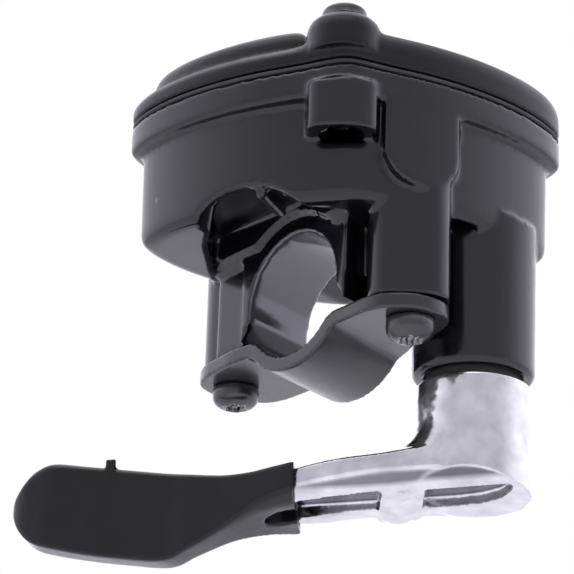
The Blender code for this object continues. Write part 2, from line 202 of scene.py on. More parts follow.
def soften(thing, voxel, rounds, factor=0.5):
    # an even skin over the joined shapes, eased so that every edge and corner is rounded as in a casting
    remesh = thing.modifiers.new("skin", "REMESH")
    remesh.mode = "VOXEL"
    remesh.voxel_size = voxel
    ease = thing.modifiers.new("ease", "SMOOTH")
    ease.factor = factor
    ease.iterations = rounds
    return bake(thing)


def putAway(thing, name, finish, body, slot, *nodes):
    # millimetres to metres, smooth shading, material, and the frame's bookkeeping
    thing.name = name
    thing.data.name = name
    thing.data.transform(Matrix.Scale(mm, 4))
    thing.data.shade_smooth()
    thing.data.materials.clear()
    thing.data.materials.append(finish)
    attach(thing, body)
    if nodes:
        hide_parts(*nodes)
    print(name, len(thing.data.polygons), "faces")
    return thing


def finishOf(name, look):
    made = bpy.data.materials.new(name)
    made.use_nodes = True
    nodes = made.node_tree.nodes
    links = made.node_tree.links
    shader = nodes["Principled BSDF"]
    shader.inputs["Metallic"].default_value = look.get("metallic", 0.0)
    shader.inputs["IOR"].default_value = look.get("ior", 1.5)
    where = nodes.new("ShaderNodeTexCoord")
    place = nodes.new("ShaderNodeMapping")
    place.inputs["Scale"].default_value = look.get("stretch", (1, 1, 1))
    links.new(where.outputs["Object"], place.inputs["Vector"])

    def cloud(scale, detail=3.0, rough=0.55):
        texture = nodes.new("ShaderNodeTexNoise")
        texture.inputs["Scale"].default_value = scale
        texture.inputs["Detail"].default_value = detail
        texture.inputs["Roughness"].default_value = rough
        links.new(place.outputs["Vector"], texture.inputs["Vector"])
        return texture.outputs["Fac"]

    def spread(source, low, high, start=0.3, end=0.7):
        fit = nodes.new("ShaderNodeMapRange")
        fit.inputs["From Min"].default_value = start
        fit.inputs["From Max"].default_value = end
        fit.inputs["To Min"].default_value = low
        fit.inputs["To Max"].default_value = high
        links.new(source, fit.inputs["Value"])
        return fit.outputs["Result"]

    def blendOf(amount, one, two):
        mix = nodes.new("ShaderNodeMix")
        mix.data_type = "RGBA"
        for value, socket in ((amount, mix.inputs[0]), (one, mix.inputs[6]), (two, mix.inputs[7])):
            if isinstance(value, tuple):
                socket.default_value = (*value, 1)
            elif isinstance(value, (int, float)):
                socket.default_value = value
            else:
                links.new(value, socket)
        return mix.outputs[2]

    broad = cloud(look.get("broad", 60.0), 2.0)
    fine = cloud(look.get("fine", 900.0), 4.0)
    colour = blendOf(spread(broad, 0.0, 1.0), look["colour"], look["shade"])
    # convex edges lightened by pointiness: a painted highlight along the edges, together with edge wear
    shape = nodes.new("ShaderNodeNewGeometry")
    edge = spread(shape.outputs["Pointiness"], 0.0, look.get("edgeHighlightAndWearAmount", 0.0), *look.get("edge", (0.53, 0.6)))
    edgeHighlightAndWear = nodes.new("ShaderNodeMath")
    edgeHighlightAndWear.operation = "MULTIPLY"
    links.new(edge, edgeHighlightAndWear.inputs[0])
    links.new(spread(cloud(400.0, 5.0), 0.2, 1.0, 0.35, 0.6), edgeHighlightAndWear.inputs[1])
    colour = blendOf(edgeHighlightAndWear.outputs[0], colour, look.get("edgeHighlightAndWearColour", look["colour"]))
    if "bore" in look:
        # the clamp's bore is given a lighter, part metallic grey: a painted reflection of the white surroundings on
        # the glossy black paint
        spot = nodes.new("ShaderNodeSeparateXYZ")
        links.new(where.outputs["Object"], spot.inputs[0])
        flat = nodes.new("ShaderNodeCombineXYZ")
        links.new(spot.outputs["X"], flat.inputs["X"])
        links.new(spot.outputs["Z"], flat.inputs["Z"])
        reach = nodes.new("ShaderNodeVectorMath")
        reach.operation = "LENGTH"
        links.new(flat.outputs[0], reach.inputs[0])
        inBore = spread(reach.outputs["Value"], 1.0, 0.0, look["bore"] + 0.00015, look["bore"] + 0.0005)
        colour = blendOf(inBore, colour, look["boreReflectionColour"])
        links.new(spread(inBore, 0.0, 0.6, 0.0, 1.0), shader.inputs["Metallic"])
    if "recess" in look:
        # faces looking down inside the cast channel are darker: partly the dull as-cast surface, partly painted
        # shade in the hollow
        split = nodes.new("ShaderNodeSeparateXYZ")
        links.new(shape.outputs["Normal"], split.inputs[0])
        spot = nodes.new("ShaderNodeSeparateXYZ")
        links.new(where.outputs["Object"], spot.inputs[0])
        down = spread(split.outputs["Z"], 1.0, 0.0, -0.95, -0.6)
        deep = spread(spot.outputs["Z"], 0.0, 1.0, look["recess"][0], look["recess"][1])
        both = nodes.new("ShaderNodeMath")
        both.operation = "MULTIPLY"
        links.new(down, both.inputs[0])
        links.new(deep, both.inputs[1])
        colour = blendOf(both.outputs[0], colour, look["recessShadeAndDullColour"])
    links.new(colour, shader.inputs["Base Color"])
    low, high = look["roughness"]
    patches = nodes.new("ShaderNodeMath")
    patches.operation = "ADD"
    links.new(spread(cloud(look.get("patch", 130.0), 4.0), low, high), patches.inputs[0])
    links.new(spread(fine, -0.03, 0.03), patches.inputs[1])
    links.new(patches.outputs[0], shader.inputs["Roughness"])
    bumps = []
    for source, strength, distance in (
        (broad, look.get("wave", 0.0), 0.0006), (fine, look.get("grain", 0.1), 0.00004),
    ):
        bump = nodes.new("ShaderNodeBump")
        bump.inputs["Strength"].default_value = strength
        bump.inputs["Distance"].default_value = distance
        links.new(source, bump.inputs["Height"])
        if bumps:
            links.new(bumps[-1].outputs["Normal"], bump.inputs["Normal"])
        bumps.append(bump)
    links.new(bumps[-1].outputs["Normal"], shader.inputs["Normal"])
    return made


looks = {
    "casePaint": {
        "colour": (0.003, 0.0029, 0.004), "shade": (0.004, 0.0038, 0.0055), "roughness": (0.12, 0.22), "ior": 1.5,
        "grain": 0.18, "fine": 700.0, "wave": 0.12, "broad": 90.0,
        # the lighter edge colour on the case is a painted highlight along the casting's edges
        "edgeHighlightAndWearAmount": 0.6, "edgeHighlightAndWearColour": (0.15, 0.15, 0.16), "edge": (0.535, 0.64),
        # the bore's lighter grey is a painted reflection
        "bore": 0.0111, "boreReflectionColour": (0.12, 0.12, 0.13),
    },
    "coverSatin": {
        "colour": (0.004, 0.004, 0.0048), "shade": (0.006, 0.006, 0.007), "roughness": (0.24, 0.36), "ior": 1.34,
        "grain": 0.3, "fine": 1500.0, "wave": 0.06, "broad": 70.0,
        "edgeHighlightAndWearAmount": 0.4, "edgeHighlightAndWearColour": (0.05, 0.05, 0.055), "edge": (0.55, 0.66),
    },
    "strapBlack": {
        "colour": (0.01, 0.01, 0.011), "shade": (0.02, 0.02, 0.021), "roughness": (0.18, 0.3),
        "metallic": 0.0, "grain": 0.22, "fine": 1200.0, "stretch": (1, 0.25, 1), "wave": 0.06,
        "edgeHighlightAndWearAmount": 0.7, "edgeHighlightAndWearColour": (0.12, 0.12, 0.12), "edge": (0.53, 0.62),
    },
    "screwBlack": {
        "colour": (0.045, 0.045, 0.047), "shade": (0.09, 0.09, 0.09), "roughness": (0.2, 0.36),
        "metallic": 0.9, "grain": 0.25, "fine": 2400.0, "edgeHighlightAndWearAmount": 0.8, "edgeHighlightAndWearColour": (0.4, 0.39, 0.37),
        "edge": (0.52, 0.58),
    },
    "polished": {
        "colour": (0.68, 0.68, 0.69), "shade": (0.5, 0.5, 0.515), "roughness": (0.1, 0.24),
        "metallic": 1.0, "grain": 0.4, "fine": 520.0, "wave": 0.16, "broad": 260.0, "patch": 240.0,
        # the darker channel floor is partly painted shade
        "recess": (-0.0331, -0.0325), "recessShadeAndDullColour": (0.11, 0.11, 0.13),
    },
    "vinyl": {
        "colour": (0.003, 0.003, 0.0034), "shade": (0.005, 0.005, 0.0055), "roughness": (0.14, 0.26), "ior": 1.38,
        "grain": 0.25, "fine": 420.0, "wave": 0.3, "broad": 140.0,
    },
    "sealRubber": {
        "colour": (0.012, 0.012, 0.012), "shade": (0.022, 0.022, 0.022), "roughness": (0.5, 0.7),
        "grain": 0.5, "fine": 2200.0,
    },
    "zincPlate": {
        "colour": (0.56, 0.56, 0.54), "shade": (0.47, 0.47, 0.44), "roughness": (0.22, 0.38),
        "metallic": 1.0, "grain": 0.3, "fine": 1800.0, "edgeHighlightAndWearAmount": 0.6, "edgeHighlightAndWearColour": (0.75, 0.75, 0.74),
    },
    "bronze": {
        "colour": (0.55, 0.36, 0.16), "shade": (0.42, 0.27, 0.12), "roughness": (0.35, 0.5),
        "metallic": 1.0, "grain": 0.5, "fine": 2600.0,
    },
    "springWire": {
        "colour": (0.5, 0.5, 0.5), "shade": (0.4, 0.4, 0.39), "roughness": (0.18, 0.3),
        "metallic": 1.0, "grain": 0.2, "fine": 3000.0,
    },
}
finishes = {name: finishOf(name, look) for name, look in looks.items()}
print("finishes ready")

caseSizes = {
    "floor": 10.0, "innerFloor": 17.0, "lip": 28.0, "rim": 32.9, "wall": 1.7,
    "low": (35.6, 25.2), "top": (35.9, 25.5), "voxel": 0.52, "ease": 4,
    "bore": 11.1, "barRoom": 14.4, "lipArch": 14.3, "shaftWay": 4.8, "sealSeat": 8.6,
    "clampThread": 2.3, "coverThread": 2.35, "threadFoot": 21.0,
}
pillars = {   # along, across, top, radius, foot
    "near": (-1.3, -24.6, 43.2, 5.9, 21.3),
    "right": (31.0, 9.5, 42.3, 5.2, 19.0),
    "left": (-28.5, 14.5, 40.2, 5.2, 19.0),
}


def makeCase():
    s = caseSizes
    low = s["low"]
    top = s["top"]
    home = housingAt()
    body = skin("caseBody", stackOf(wallOutline, [
        ((low[0] - 2.4, low[1] - 2.4), s["floor"]), ((low[0] - 1.2, low[1] - 1.2), s["floor"] + 0.3),
        ((low[0] - 0.4, low[1] - 0.4), s["floor"] + 1.0), ((low[0] - 0.05, low[1] - 0.05), s["floor"] + 2.2),
        (top, s["lip"] + 1.5),
    ]), home)
    flange = skin("flange", stackOf(rimOutline, [
        (3.0, s["lip"] - 0.3), (0.5, s["lip"] - 0.15), (0.0, s["lip"] + 0.3), (0.0, s["rim"]),
    ]), home)
    k = layout
    adds = [flange]
    # near pillar under the first cover screw, with upright sides and a hollow foot
    px, py, _, pr, foot = pillars["near"]
    tongue = [(px - pr, -15), (px - pr, -27.6)]
    for i in range(1, 12):
        t = math.radians(180 + 180 * i / 12)
        tongue.append((px + pr * math.cos(t), -27.6 + 2.6 * math.sin(t)))
    tongue += [(px + pr, -27.6), (px + pr, -15)]
    adds.append(slab("tongue", tongue, foot, s["lip"] + 2, home))
    # U shaped pad, flush below the flange
    padShape = [(5.9, 30.0)]
    for i in range(0, 17):
        t = math.radians(180 + 180 * i / 16)
        padShape.append((12.4 + 6.5 * math.cos(t), 19.6 + 6.5 * math.sin(t)))
    padShape.append((18.9, 30.0))
    pad = slab("pad", wallOutline((38.1, 27.9)), 12.0, 29.5, home)
    stencil = skin("padStencil", [[(x, y, z) for x, z in padShape] for y in (-40, -12)], home)
    adds.append(combine(pad, [stencil], "INTERSECT"))
    for side in ("right", "left"):
        along, across, _, radius, foot = pillars[side]
        adds.append(turned("pillar", [(radius, foot), (radius, s["rim"])], housingAt(along, across), 64))
    base = combine(body, adds, "UNION")
    # the inside
    inside = skin("inside", stackOf(wallOutline, [
        ((top[0] - s["wall"] - 0.6, top[1] - s["wall"] - 0.6), s["innerFloor"]),
        ((top[0] - s["wall"], top[1] - s["wall"]), s["rim"] + 2),
    ]), home)
    cuts = [inside]
    # clearance for the bar on both sides of the saddle, and the hollows beside it
    for name, start, end in (("clearNear", -60, -k["saddleHalf"]), ("clearFar", k["saddleHalf"], 60)):
        ring = circleOf(s["barRoom"], 4)
        cuts.append(skin(name, [[(x, y + k["skew"] * x, z) for x, z in ring] for y in (start, end)]))
    cuts.append(slab("pocketNear", roundedPath([
        (-21.4, -3.4), (-14.4, -14.4), (-6.2, -22.6), (2.2, -20.6), (10.2, -18.0), (15.4, -12.7),
    ], 1.6), 5, 15.6))
    cuts.append(slab("pocketRight", roundedPath([
        (17.8, -17.4), (22.8, -13.9), (29.0, -8.4), (25.0, -3.0), (17.8, -6.0),
    ], 0.8), 5, 14.6, home))
    base = combine(base, cuts, "DIFFERENCE")
    # legs, saddle, posts and the shaft's boss
    half = k["saddleHalf"]
    shelf = slab("shelf", sheared(-21.9, 16.0, -half - 1.3, -half + 0.3), 11.3, 16.4)
    archRing = circleOf(s["lipArch"], 3)
    arch = skin("arch", [[(x, y + k["skew"] * x, z) for x, z in archRing] for y in (-60, 20)])
    shelf = combine(shelf, [arch], "DIFFERENCE")
    adds = [
        shelf,
        slab("saddle", sheared(-13.6, 13.6, -half, half), k["earZ"], 13.0),
        slab("block", sheared(-21.9, 16.0, -half + 1.2, half), s["floor"] + 0.6, 13.0),
        slab("legLeft", roundedPath(sheared(-21.9, -10.0, -half + 1.3, 5.0), 1.2), k["earZ"], 17),
        turned("postLeft", [(5.8, k["earZ"]), (5.9, 14)], Matrix.Translation((-k["screwX"], -k["screwY"], 0))),
        slab("webRight", sheared(10.0, 21.0, -3.0, 3.4), k["earZ"] + 2.4, 16),
        slab("postRight", roundedBox(3.7, 17.6, -23.3, -12.6, 4.0), k["earZ"], 17.5, home),
        turned("boss", [(9.6, -13.6), (10.3, -13.3), (10.55, -12.6), (10.9, 14.0)], shaftPlace),
        slab("midRib", roundedPath([(-0.6, -12.6), (1.1, -11.8), (3.6, -21.6), (1.9, -22.2)], 0.5), 12.6, 17),
    ]
    base = combine(base, adds, "UNION")
    ring = circleOf(s["bore"], 3)
    relief = [(-10.9, -1.4), (10.9, -1.4), (14.6, k["earZ"] - 1), (-14.6, k["earZ"] - 1)]
    cuts = [
        skin("barWay", [[(x, y, z) for x, z in ring] for y in (-60, 60)]),
        skin("relief", [[(x, y, z) for x, z in relief] for y in (-60, 60)]),
        turned("shaftWay", [(s["shaftWay"], -20), (s["shaftWay"], 30)], shaftPlace, 48),
        turned("sealSeat", [(s["sealSeat"], -20), (s["sealSeat"], -12.7)], shaftPlace, 64),
        # a slot between the saddle's lower edge and the right post
        slab("gap", sheared(13.3, 16.2, -20, 20), k["earZ"] - 1, 0.6),
    ]
    for sign in (-1, 1):
        spot = Matrix.Translation((sign * k["screwX"], sign * k["screwY"], 0))
        cuts.append(turned("thread", [(s["clampThread"], k["earZ"] - 3), (s["clampThread"], 7.6)], spot, 32))
    bored = s["coverThread"]
    for along, across, *_ in pillars.values():
        cuts.append(turned("thread", [(bored, s["threadFoot"]), (bored, 40)], housingAt(along, across), 32))
    px, py, _, pr, foot = pillars["near"]
    hollow = [(3.7, foot - 1), (3.6, foot + 0.3), (2.6, foot + 0.9), (1.6, foot + 1.1)]
    cuts.append(turned("footHollow", hollow, housingAt(px, py - 0.6), 48))
    base = combine(base, cuts, "DIFFERENCE")
    # cable inlet and stop stand on the far side
    sideways = Matrix.Rotation(-math.pi / 2, 4, "X")
    adds = [
        turned("inletBoss", [(6.2, -6.0), (6.2, 4.2)], housingAt(7.0, 25.0, 23.5) @ sideways, 64),
        turned("stopBoss", [(4.4, -4.6), (4.4, 3.4)], housingAt(22.0, 20.5, 22.5) @ sideways, 64),
    ]
    base = combine(base, adds, "UNION")
    cuts = [
        turned("inletWay", [(4.3, -14), (4.3, 12)], housingAt(7.0, 25.0, 23.5) @ sideways, 48),
        turned("stopWay", [(2.4, -14), (2.4, 12)], housingAt(22.0, 20.5, 22.5) @ sideways, 32),
    ]
    base = combine(base, cuts, "DIFFERENCE")
    return soften(base, s["voxel"], s["ease"])


putAway(makeCase(), "castCase", finishes["casePaint"], "housing", "case_paint", "case")

coverSizes = {
    "base": 34.2, "band": 36.9, "top": 38.4, "rise": 2.5, "domeTop": 43.0, "domeEnd": -6.4,
    "voxel": 0.4, "ease": 6,
}


def domeOutline(shrink, sides=200):
    # follows the rim on the left and stops at a rounded end before the near pillar
    centre = (-17.0, 0.0)
    points = []
    for i in range(sides):
        t = 2 * math.pi * i / sides
        low = 0.0
        high = 60.0
        for _ in range(26):
            mid = (low + high) / 2
            x = centre[0] + mid * math.cos(t)
            y = centre[1] + mid * math.sin(t)
            rim = (abs(x) / 35.0) ** 1.6 + (abs(y) / 24.6) ** 1.6
            end = max(0.0, (x - centre[0]) / (coverSizes["domeEnd"] - centre[0]))
            if (rim ** 7 + end ** 9) < 1:
                low = mid
            else:
                high = mid
        reach = low - shrink
        points.append((centre[0] + reach * math.cos(t), centre[1] + reach * math.sin(t)))
    return points


def makeCover():
    s = coverSizes
    home = housingAt()
    rows = []
    for inset, z, lift in (
        (0.0, s["base"], 0.0), (0.0, s["band"] - 0.6, 0.5), (0.3, s["band"], 0.8), (1.0, s["band"] + 0.9, 1.0),
        (2.0, s["top"] - 0.2, 1.0), (3.6, s["top"], 1.0), (12.0, s["top"] + 0.2, 1.0),
    ):
        # the plain right side stands higher than the ledge round the dome
        rows.append([
            (x, y, z + lift * s["rise"] * (0.5 + 0.5 * math.sin(max(-1, min(1, (x + 3) / 9)) * math.pi / 2)))
            for x, y in rimOutline(inset)
        ])
    band = skin("band", rows, home)
    dome = skin("dome", stackOf(domeOutline, [
        (0.0, 36.0), (0.5, 40.8), (1.0, 42.0), (2.0, 42.9), (3.6, s["domeTop"]), (9.0, s["domeTop"] + 0.15),
    ]), home)
    adds = [dome]
    for side, (along, across, top, radius, _) in pillars.items():
        if side == "near":
            tongue = []
            for i in range(0, 40):
                t = 2 * math.pi * i / 40
                tongue.append((along + (radius + 0.2) * math.cos(t), across + (radius + 0.1) * math.sin(t)))
            middle = (along, across)
            rows = [(1.08, 36.0), (1.06, top - 3.0), (1.0, top - 1.6), (0.86, top - 0.6), (0.68, top)]
            adds.append(skin("coverPillar", stackOf(lambda f: scaled(tongue, f, middle), rows), home))
        else:
            adds.append(turned("coverPillar", [
                (radius - 0.3, s["base"]), (radius - 0.5, top - 1.2), (radius - 1.4, top),
            ], housingAt(along, across), 64))
    cover = combine(band, adds, "UNION")
    cuts = [
        skin("coverInside", stackOf(wallOutline, [((34.2, 23.9), 30), ((33.8, 23.5), 36.3)]), home),
        skin("domeInside", stackOf(domeOutline, [(2.4, 30), (3.0, 40.6)]), home),
    ]
    for side, (along, across, top, radius, _) in pillars.items():
        cuts.append(turned("hole", [(2.4, 30), (2.4, 50)], housingAt(along, across), 32))
        if side != "near":
            cuts.append(turned("headRoom", [(4.9, top + 0.02), (4.9, 50)], housingAt(along, across), 48))
    cover = combine(cover, cuts, "DIFFERENCE")
    return soften(cover, s["voxel"], s["ease"])


putAway(makeCover(), "satinCover", finishes["coverSatin"], "housing", "cover_satin", "cover")


def makeGasket():
    home = housingAt()
    outer = rimOutline(0.3)
    hole = wallOutline((34.4, 24.1))
    ring = skin("gasketSheet", [
        [(x, y, 33.2) for x, y in outer], [(x, y, 33.35) for x, y in rimOutline(0.12)],
        [(x, y, 33.75) for x, y in rimOutline(0.12)], [(x, y, 33.9) for x, y in outer],
        [(x, y, 33.9) for x, y in hole], [(x, y, 33.2) for x, y in hole],
    ], home, closed=True)
    cuts = []
    for along, across, *_ in pillars.values():
        cuts.append(turned("hole", [(2.4, 30), (2.4, 40)], housingAt(along, across), 32))
    return combine(ring, cuts, "DIFFERENCE")


putAway(makeGasket(), "rimGasket", finishes["sealRubber"], "housing", "seal_rubber", "gasket")

strapSizes = {"thick": 2.6, "arc": 12.4, "bend": 4.0, "earMid": -7.4, "voxel": 0.3, "ease": 3}


def strapSection(offset):
    s = strapSizes
    reach = math.sqrt((s["arc"] + s["bend"]) ** 2 - (s["earMid"] - s["bend"]) ** 2)
    angle = math.atan2(reach, s["bend"] - s["earMid"])
    right = [(32.0, s["earMid"] + offset)]
    for i in range(17):
        t = angle * i / 16
        r = s["bend"] + offset
        right.append((reach - r * math.sin(t), s["earMid"] - s["bend"] + r * math.cos(t)))
    for i in range(1, 25):
        t = angle * (1 - i / 24)
        r = s["arc"] - offset
        right.append((r * math.sin(t), -r * math.cos(t)))
    return right + [(-x, z) for x, z in right[-2::-1]]


def makeStrap():
    s = strapSizes
    section = strapSection(s["thick"] / 2) + strapSection(-s["thick"] / 2)[::-1]
    band = skin("strapBand", [[(x, y, z) for x, z in section] for y in (-40, 40)])
    half = layout["saddleHalf"]
    k = layout["skew"]
    side = [
        (12.0, -half + k * 12.0), (18.0, -13.0), (22.0, -13.3), (26.6, -10.4), (28.8, -5.9), (28.2, -1.4),
        (24.5, 1.8), (16.2, 5.0), (12.2, 8.2),
        (-12.0, 2.5 + half - k * 12.0), (-17.6, 15.3), (-22.6, 15.7), (-27.0, 12.0), (-28.8, 5.9), (-28.2, 1.4),
        (-24.5, -1.8), (-16.2, -5.0), (-12.0, -half - k * 12.0),
    ]
    plan = slab("strapPlan", roundedPath(side, 2.6), -30, 10)
    band = combine(band, [plan], "INTERSECT")
    cuts = []
    for sign in (-1, 1):
        spot = Matrix.Translation((sign * layout["screwX"], sign * layout["screwY"], 0))
        cuts.append(turned("hole", [(2.4, -20), (2.4, 0)], spot, 32))
    return soften(combine(band, cuts, "DIFFERENCE"), s["voxel"], s["ease"])


putAway(makeStrap(), "clampStrap", finishes["strapBlack"], "housing", "strap_black", "clamp_strap")

# one node tree sets a screw at each place
clampScrewSizes = {"head": 4.15, "high": 3.9, "shank": 1.95, "long": 13.4, "socket": 1.9, "deep": 1.5}
coverScrewSizes = {"head": 3.9, "high": 2.6, "shank": 1.95, "long": 20.0, "socket": 1.7, "deep": 1.1}


def makeScrewModel(name, s):
    # a button head with a lobed socket and a threaded shank
    head = s["head"]
    high = s["high"]
    side = high * 0.42
    profile = []
    for i in range(15):
        t = math.radians(90 * i / 14)
        profile.append((head * 0.985 * math.sin(t) ** 0.9, side + (high - side) * math.cos(t) ** 0.9))
    profile += [(head, side - 0.25), (head, 0.35), (head * 0.975, 0.1), (head * 0.94, 0.0), (s["shank"], 0.0)]
    turns = int(s["long"] / 0.8)
    for i in range(turns):
        z = -0.8 * i
        profile += [(s["shank"], z - 0.3), (s["shank"] - 0.28, z - 0.6)]
    profile += [(s["shank"] - 0.3, -s["long"] + 0.5), (s["shank"] - 0.8, -s["long"])]
    solid = turned(name, profile, None, 72)
    socket = []
    for i in range(72):
        t = 2 * math.pi * i / 72
        r = s["socket"] * (1 + 0.13 * math.cos(6 * t))
        socket.append((r * math.cos(t), r * math.sin(t)))
    tool = slab("socket", socket, high - s["deep"], high + 2)
    pin = turned("pin", [(0.55, high - s["deep"] - 0.2), (0.5, high - 0.55), (0.3, high - 0.45)], None, 24)
    solid = combine(solid, [tool], "DIFFERENCE")
    solid = combine(solid, [pin], "UNION")
    scene.collection.objects.unlink(solid)
    return solid


def screwTree(name):
    tree = bpy.data.node_groups.new(name, "GeometryNodeTree")
    for label, kind in (
        ("Places", "NodeSocketGeometry"), ("Screw", "NodeSocketObject"),
        ("Finish", "NodeSocketMaterial"), ("Turn step", "NodeSocketFloat"),
    ):
        tree.interface.new_socket(label, in_out="INPUT", socket_type=kind)
    tree.interface.new_socket("Screws", in_out="OUTPUT", socket_type="NodeSocketGeometry")
    nodes = tree.nodes
    links = tree.links
    start = nodes.new("NodeGroupInput")
    end = nodes.new("NodeGroupOutput")
    model = nodes.new("GeometryNodeObjectInfo")
    model.inputs["As Instance"].default_value = True
    index = nodes.new("GeometryNodeInputIndex")
    step = nodes.new("ShaderNodeMath")
    step.operation = "MULTIPLY"
    turn = nodes.new("ShaderNodeCombineXYZ")
    side = nodes.new("GeometryNodeInputNormal")
    align = nodes.new("FunctionNodeAlignRotationToVector")
    align.axis = "Z"
    spin = nodes.new("FunctionNodeRotateRotation")
    spin.rotation_space = "LOCAL"
    toTurn = nodes.new("FunctionNodeEulerToRotation")
    place = nodes.new("GeometryNodeInstanceOnPoints")
    real = nodes.new("GeometryNodeRealizeInstances")
    paint = nodes.new("GeometryNodeSetMaterial")
    links.new(start.outputs["Screw"], model.inputs["Object"])
    links.new(start.outputs["Places"], place.inputs["Points"])
    links.new(model.outputs["Geometry"], place.inputs["Instance"])
    links.new(side.outputs["Normal"], align.inputs["Vector"])
    links.new(index.outputs["Index"], step.inputs[0])
    links.new(start.outputs["Turn step"], step.inputs[1])
    links.new(step.outputs[0], turn.inputs["Z"])
    links.new(turn.outputs[0], toTurn.inputs[0])
    links.new(align.outputs["Rotation"], spin.inputs["Rotation"])
    links.new(toTurn.outputs[0], spin.inputs["Rotate By"])
    links.new(spin.outputs["Rotation"], place.inputs["Rotation"])
    links.new(place.outputs["Instances"], real.inputs["Geometry"])
    links.new(real.outputs["Geometry"], paint.inputs["Geometry"])
    links.new(start.outputs["Finish"], paint.inputs["Material"])
    links.new(paint.outputs["Geometry"], end.inputs["Screws"])
    return tree


screwSetter = screwTree("setScrews")


def setScrews(name, sizes, places, facing, finish, slot, nodes):
    # places are points whose normals face the way the heads do
    model = makeScrewModel(name + "Model", sizes)
    bm = bmesh.new()
    for place in places:
        # a tiny face, so that the point has a normal
        bm.faces.new([
            bm.verts.new(Vector(place) + Vector(side) * 0.001)
            for side in (((1, 0, 0), (0, 1, 0), (-1, 0, 0)) if facing > 0 else ((-1, 0, 0), (0, 1, 0), (1, 0, 0)))
        ])
    mesh = bpy.data.meshes.new(name)
    bm.to_mesh(mesh)
    bm.free()
    holder = bpy.data.objects.new(name, mesh)
    scene.collection.objects.link(holder)
    tree = screwSetter
    step = holder.modifiers.new("screws", "NODES")
    step.node_group = tree
    sockets = {item.name: item.identifier for item in tree.interface.items_tree if item.in_out == "INPUT"}
    step[sockets["Screw"]] = model
    step[sockets["Finish"]] = finish
    step[sockets["Turn step"]] = 0.9
    bake(holder)
    bpy.data.objects.remove(model)
    return putAway(holder, name, finish, "housing", slot, *nodes)


def centresOnly(tree):
    # the tiny faces become one point each before the screws are set
    nodes = tree.nodes
    links = tree.links
    toPoints = nodes.new("GeometryNodeMeshToPoints")
    toPoints.mode = "FACES"
    keep = nodes.new("GeometryNodeCaptureAttribute")
    keep.domain = "FACE"
    keep.capture_items.new("VECTOR", "side")
    start = next(n for n in nodes if n.bl_idname == "NodeGroupInput")
    place = next(n for n in nodes if n.bl_idname == "GeometryNodeInstanceOnPoints")
    side = next(n for n in nodes if n.bl_idname == "GeometryNodeInputNormal")
    align = next(n for n in nodes if n.bl_idname == "FunctionNodeAlignRotationToVector")
    links.new(start.outputs["Places"], keep.inputs["Geometry"])
    links.new(side.outputs["Normal"], keep.inputs[1])
    links.new(keep.outputs["Geometry"], toPoints.inputs["Mesh"])
    links.new(keep.outputs[1], align.inputs["Vector"])
    links.new(toPoints.outputs["Points"], place.inputs["Points"])


centresOnly(screwSetter)
earUnder = layout["earZ"] - 0.3 - strapSizes["thick"] - 0.15
setScrews(
    "clampScrews", clampScrewSizes,
    [(-layout["screwX"], -layout["screwY"], earUnder), (layout["screwX"], layout["screwY"], earUnder)],
    -1, finishes["screwBlack"], "clamp_screw_black", ("clamp_screw_left", "clamp_screw_right"),
)
setScrews(
    "coverScrews", coverScrewSizes,
    [housingAt(p[0], p[1], p[2] + 0.1).translation for p in pillars.values()],
    1, finishes["screwBlack"], "cover_screw_black", ("cover_screw_near", "cover_screw_right", "cover_screw_left"),
)

leverSizes = {
    "turn": math.radians(199.0), "hub": 9.9, "top": -14.9, "foot": -35.4, "barrelLean": 0.345,
    "voxel": 0.32, "ease": 3,
}


def eased(stations, steps):
    # rows of numbers between stations, on smooth curves through them
    rows = []
    for i in range(len(stations) - 1):
        before = stations[max(i - 1, 0)]
        here = stations[i]
        after = stations[i + 1]
        beyond = stations[min(i + 2, len(stations) - 1)]
        for j in range(steps):
            t = j / steps
            rows.append([
                0.5 * (2 * b + (c - a) * t + (2 * a - 5 * b + 4 * c - d) * t * t + (3 * b - a - 3 * c + d) * t ** 3)
                for a, b, c, d in zip(before, here, after, beyond)
            ])
    rows.append(list(stations[-1]))
    return rows


def barRing(reach, near, far, top, nearLow, farLow, bevel, drop, ease=0.8, slant=0.0):
    # a section across the arm: upright sides, a bevel on the near lower edge, eased corners
    corners = [(near, top), (near, nearLow), (near - bevel, nearLow - drop), (far, farLow), (far, top)]
    return [(reach + slant * (near - y), y, z) for y, z in roundedPath(corners, ease, 5)]


armStations = [
    (0, 9.75, -9.6, -27.0, -31.75, -34.6, 5.1, 2.05), (7, 9.4, -9.2, -27.4, -31.5, -34.5, 4.8, 2.2),
    (14, 8.9, -8.7, -27.9, -31.3, -34.3, 4.4, 2.2), (22, 8.3, -8.2, -28.2, -31.8, -34.3, 3.8, 1.9),
    (29, 7.8, -7.9, -29.2, -32.6, -34.8, 3.3, 1.6), (34, 7.0, -6.2, -29.9, -33.4, -35.1, 2.6, 1.2),
    (40, 6.0, -0.6, -30.4, -36.2, -36.8, 1.6, 0.4), (48, 5.0, 1.5, -29.8, -39.4, -39.6, 1.0, 0.2),
    (60, 4.2, 1.0, -28.0, -40.6, -40.7, 1.0, 0.1), (74, 4.2, 1.2, -27.4, -37.6, -37.7, 1.0, 0.1),
]
tangRoom = [
    (24, 8.1, -8.2, -28.3, -31.9, -34.8, 3.6, 1.7), (29, 8.0, -8.1, -29.0, -32.8, -35.0, 3.3, 1.6),
    (34.3, 7.2, -6.4, -29.7, -33.7, -35.4, 2.6, 1.2), (40.3, 6.2, -0.8, -30.2, -36.5, -37.1, 1.6, 0.4),
    (48.2, 5.2, 1.2, -29.6, -39.6, -39.8, 1.0, 0.2), (60.2, 4.4, 0.8, -27.8, -40.8, -40.9, 1.0, 0.1),
    (74.4, 4.4, 1.0, -27.2, -37.8, -37.9, 1.0, 0.1),
]
channelPlan = [(36, 3.8), (-7.6, 4.5), (-7.4, 2.0), (-5.0, -1.6), (-1.0, -3.8), (3.5, -4.6), (34, -4.4), (37, -1.5)]


